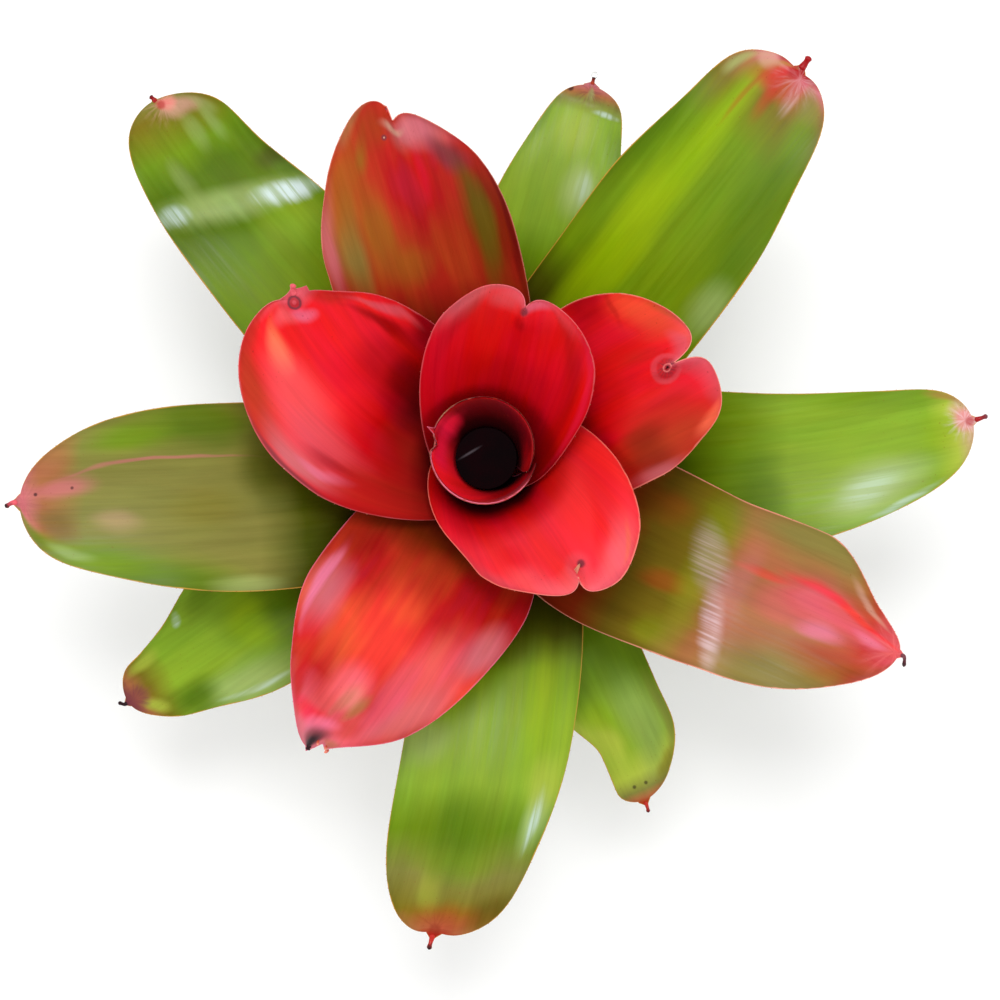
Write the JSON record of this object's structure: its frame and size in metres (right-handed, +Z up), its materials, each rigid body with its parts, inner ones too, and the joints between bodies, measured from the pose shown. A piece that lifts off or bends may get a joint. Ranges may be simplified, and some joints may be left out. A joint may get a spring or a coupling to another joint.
{
  "type": "potted neoregelia bromeliad",
  "caption": "Low rosette of broad glossy strap leaves, red heart leaves round a water-holding cup and long green outer leaves, growing in potting mix in a plain round nursery pot.",
  "frame": {"origin": "middle of the pot's flat underside, on the plant's axis", "axes": "+Z up along the stem; +X and +Y are level, +Y along the side of the upright heart leaf"},
  "size_m": [0.3598, 0.3295, 0.2433],
  "materials": {
    "leaf_red": "smooth waxy leaf, saturated red, darker towards the cup, glossy",
    "leaf_flushed": "smooth waxy leaf, olive green flushed red and pink, glossy",
    "leaf_green": "smooth waxy leaf, bright green with paler streaks and a pink tip, glossy",
    "stem": "short fibrous stem, matt",
    "potting_mix": "coarse bark and peat mix, matt",
    "pot_plastic": "thin moulded charcoal plastic, satin",
    "water": "still dark water"
  },
  "bodies": {
    "root": {"pot": "pot_plastic", "potting_mix": "potting_mix", "stem": "stem", "cup_water": "water", "leaf_01": "leaf_red", "leaf_02": "leaf_red", "leaf_03": "leaf_red", "leaf_04": "leaf_red", "leaf_05": "leaf_red", "leaf_06": "leaf_flushed", "leaf_07": "leaf_red", "leaf_08": "leaf_flushed", "leaf_09": "leaf_flushed", "leaf_10": "leaf_green", "leaf_11": "leaf_green", "leaf_12": "leaf_green", "leaf_13": "leaf_green", "leaf_14": "leaf_green", "leaf_15": "leaf_green", "leaf_16": "leaf_green"}
  },
  "joints": []
}
